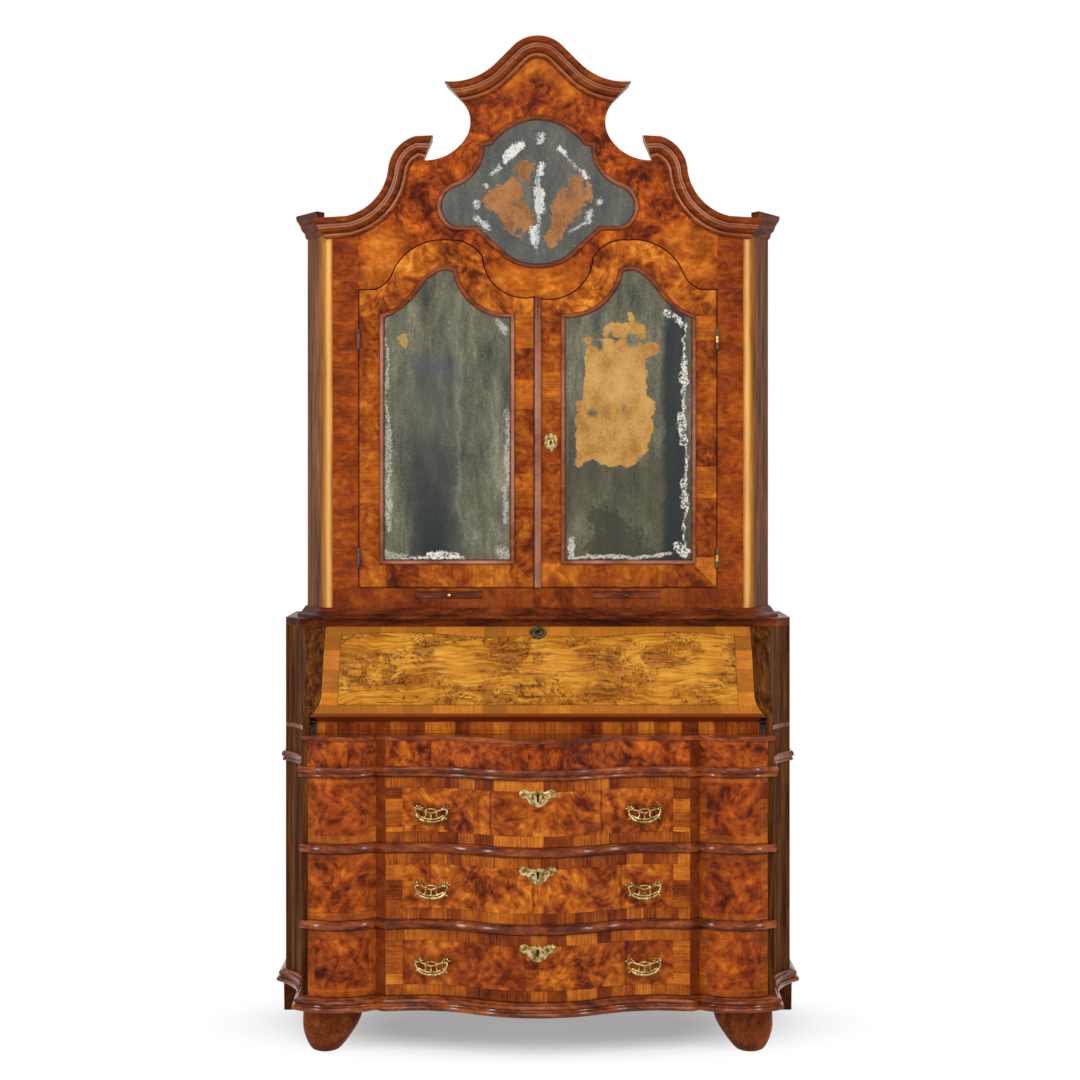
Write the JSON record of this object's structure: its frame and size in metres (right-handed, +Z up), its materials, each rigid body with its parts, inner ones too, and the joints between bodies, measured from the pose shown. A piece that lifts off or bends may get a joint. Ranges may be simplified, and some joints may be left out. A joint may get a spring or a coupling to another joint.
{
  "type": "bureau cabinet",
  "caption": "Walnut bureau cabinet: bowed chest of drawers, hinged slant writing fall with pigeonholes, and mirrored double doors under a shaped crest.",
  "frame": {"origin": "on the floor under the middle of the overall box", "axes": "+Z up, +X to the right of someone facing the front, front towards -Y"},
  "size_m": [1.294, 0.6099, 2.438],
  "materials": {
    "burr_walnut": "polished figured veneer",
    "dark_walnut": "waxed",
    "plain_wood": "bare",
    "old_mirror": "foxed silvering",
    "aged_brass": "aged polish",
    "dark_iron": "patinated"
  },
  "bodies": {
    "case": {"feet": "dark_walnut", "base_moulding": "dark_walnut", "bottom_board": "plain_wood", "desk_side_left": "dark_walnut", "desk_side_right": "dark_walnut", "back_boards": "plain_wood", "drawer_rails": "dark_walnut", "drawer_runners": "plain_wood", "string_moulding": "dark_walnut", "frieze_front": "burr_walnut", "ledge_board": "dark_walnut", "hinge_rail": "burr_walnut", "writing_board": "plain_wood", "desk_cheek_left": "dark_walnut", "desk_cheek_right": "dark_walnut", "desk_top": "dark_walnut", "pigeonholes": "plain_wood", "fall_hinge_irons": "dark_iron", "waist_moulding": "dark_walnut", "cabinet_side_left": "dark_walnut", "cabinet_side_right": "dark_walnut", "cabinet_boards": "plain_wood", "candle_rail": "burr_walnut", "candle_slide_cases": "plain_wood", "facade_stiles": "burr_walnut", "crest_panel": "burr_walnut", "crest_mirror": "old_mirror", "crest_mirror_frame": "dark_walnut", "crest_cornices": "dark_walnut", "side_cornices": "dark_walnut", "door_hinge_pins": "aged_brass"},
    "fall": {"fall_board": "burr_walnut", "fall_ironwork": "dark_iron"},
    "left_door": {"left_door_panel": "burr_walnut", "left_door_mirror": "old_mirror", "left_door_mirror_frame": "dark_walnut", "left_door_hinges": "aged_brass"},
    "right_door": {"right_door_panel": "burr_walnut", "right_door_mirror": "old_mirror", "right_door_mirror_frame": "dark_walnut", "right_door_brasses": "aged_brass", "right_door_astragal": "dark_walnut"},
    "left_candle_slide": {"candle_slide_left": "dark_walnut"},
    "right_candle_slide": {"candle_slide_right": "dark_walnut"},
    "bottom_drawer": {"bottom_drawer_front": "burr_walnut", "bottom_drawer_box": "plain_wood", "bottom_drawer_mounts": "aged_brass"},
    "bottom_left_bail": {"bottom_bail_left": "aged_brass"},
    "bottom_right_bail": {"bottom_bail_right": "aged_brass"},
    "middle_drawer": {"middle_drawer_front": "burr_walnut", "middle_drawer_box": "plain_wood", "middle_drawer_mounts": "aged_brass"},
    "middle_left_bail": {"middle_bail_left": "aged_brass"},
    "middle_right_bail": {"middle_bail_right": "aged_brass"},
    "top_drawer": {"top_drawer_front": "burr_walnut", "top_drawer_box": "plain_wood", "top_drawer_mounts": "aged_brass"},
    "top_left_bail": {"top_bail_left": "aged_brass"},
    "top_right_bail": {"top_bail_right": "aged_brass"}
  },
  "joints": [
    {"name": "fall_hinge", "type": "hinge", "parent": "case", "child": "fall", "pos_m": [0, -0.149, 0.778], "axis": [1, 0, 0], "range_deg": [0, 127]},
    {"name": "left_door_hinge", "type": "hinge", "parent": "case", "child": "left_door", "pos_m": [-0.441, 0.0215, 1.5], "axis": [0, 0, -1], "range_deg": [0, 110]},
    {"name": "right_door_hinge", "type": "hinge", "parent": "case", "child": "right_door", "pos_m": [0.441, 0.0215, 1.5], "axis": [0, 0, 1], "range_deg": [0, 110]},
    {"name": "left_candle_slide_pull", "type": "slide", "parent": "case", "child": "left_candle_slide", "axis": [0, -1, 0], "range_m": [0, 0.14]},
    {"name": "right_candle_slide_pull", "type": "slide", "parent": "case", "child": "right_candle_slide", "axis": [0, -1, 0], "range_m": [0, 0.14]},
    {"name": "bottom_drawer_pull", "type": "slide", "parent": "case", "child": "bottom_drawer", "axis": [0, -1, 0], "range_m": [0, 0.36]},
    {"name": "bottom_left_bail_swing", "type": "hinge", "parent": "bottom_drawer", "child": "bottom_left_bail", "pos_m": [-0.24991, -0.22808, 0.2245], "axis": [-0.9919, 0.1272, 0], "range_deg": [0, 80]},
    {"name": "bottom_right_bail_swing", "type": "hinge", "parent": "bottom_drawer", "child": "bottom_right_bail", "pos_m": [0.24991, -0.22808, 0.2245], "axis": [-0.9919, -0.1272, 0], "range_deg": [0, 80]},
    {"name": "middle_drawer_pull", "type": "slide", "parent": "case", "child": "middle_drawer", "axis": [0, -1, 0], "range_m": [0, 0.36]},
    {"name": "middle_left_bail_swing", "type": "hinge", "parent": "middle_drawer", "child": "middle_left_bail", "pos_m": [-0.24991, -0.22808, 0.4035], "axis": [-0.9919, 0.1272, 0], "range_deg": [0, 80]},
    {"name": "middle_right_bail_swing", "type": "hinge", "parent": "middle_drawer", "child": "middle_right_bail", "pos_m": [0.24991, -0.22808, 0.4035], "axis": [-0.9919, -0.1272, 0], "range_deg": [0, 80]},
    {"name": "top_drawer_pull", "type": "slide", "parent": "case", "child": "top_drawer", "axis": [0, -1, 0], "range_m": [0, 0.36]},
    {"name": "top_left_bail_swing", "type": "hinge", "parent": "top_drawer", "child": "top_left_bail", "pos_m": [-0.24991, -0.22808, 0.5825], "axis": [-0.9919, 0.1272, 0], "range_deg": [0, 80]},
    {"name": "top_right_bail_swing", "type": "hinge", "parent": "top_drawer", "child": "top_right_bail", "pos_m": [0.24991, -0.22808, 0.5825], "axis": [-0.9919, -0.1272, 0], "range_deg": [0, 80]}
  ]
}
